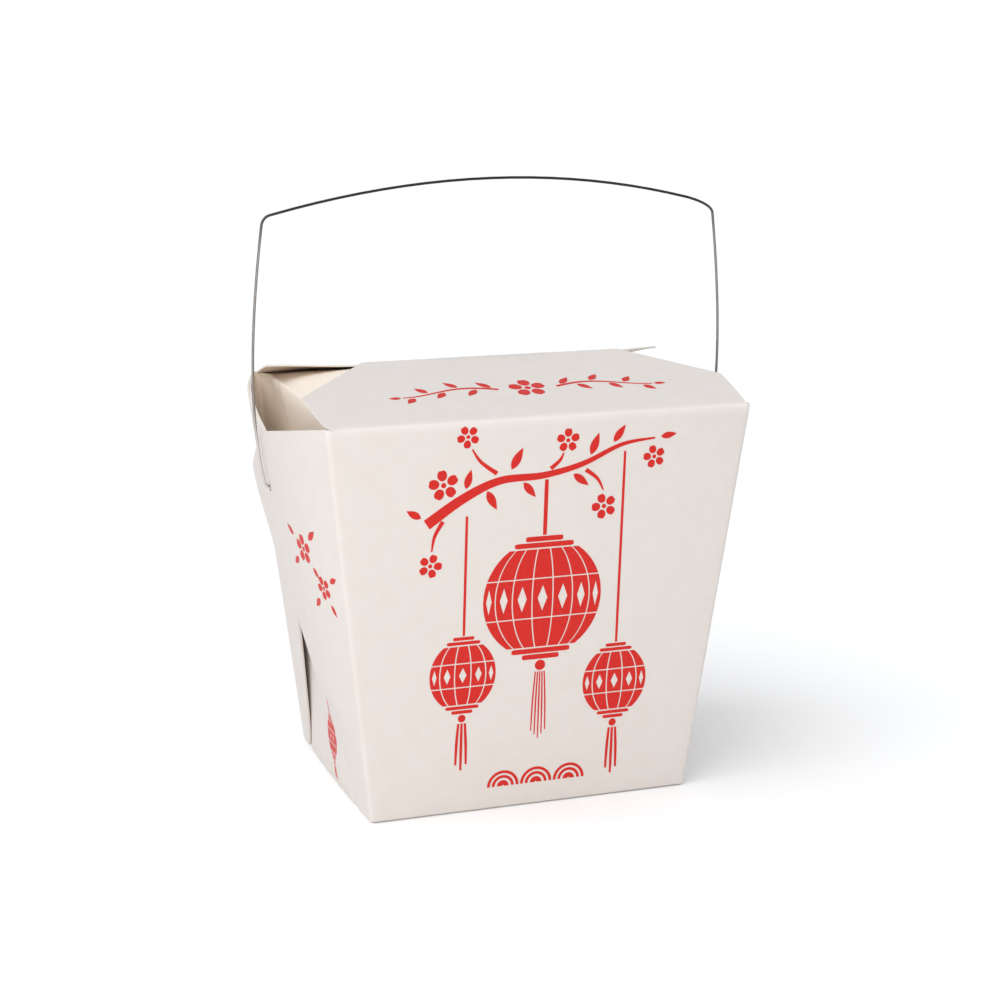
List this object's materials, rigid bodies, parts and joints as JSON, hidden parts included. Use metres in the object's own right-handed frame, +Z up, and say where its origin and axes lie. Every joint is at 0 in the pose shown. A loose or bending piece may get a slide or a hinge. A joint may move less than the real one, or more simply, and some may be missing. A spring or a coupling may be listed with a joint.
{
  "type": "noodle takeaway box",
  "caption": "shut folded paperboard pail with fanned corner webs, a gabled lid with a tucked tongue, and a thin wire bail that swings over the top",
  "frame": {"origin": "middle of the bottom panel, on its underside", "axes": "+Z up towards the lid and the arch of the bail, -Y out of the front panel, -X and +X out of the narrow sides that the bail hooks into"},
  "size_m": [0.1374, 0.084, 0.1684],
  "materials": {
    "paperboard": "white bleached board with a thin food-grade coating and a soft sheen",
    "wire": "thin drawn steel wire, lightly galvanised"
  },
  "bodies": {
    "carton": {"carton": "paperboard"},
    "bail": {"bail": "wire"}
  },
  "joints": [
    {"name": "bail_swing", "type": "hinge", "parent": "carton", "child": "bail", "pos_m": [0, 0, 0.086], "axis": [1, 0, 0], "range_deg": [-150, 150]}
  ]
}
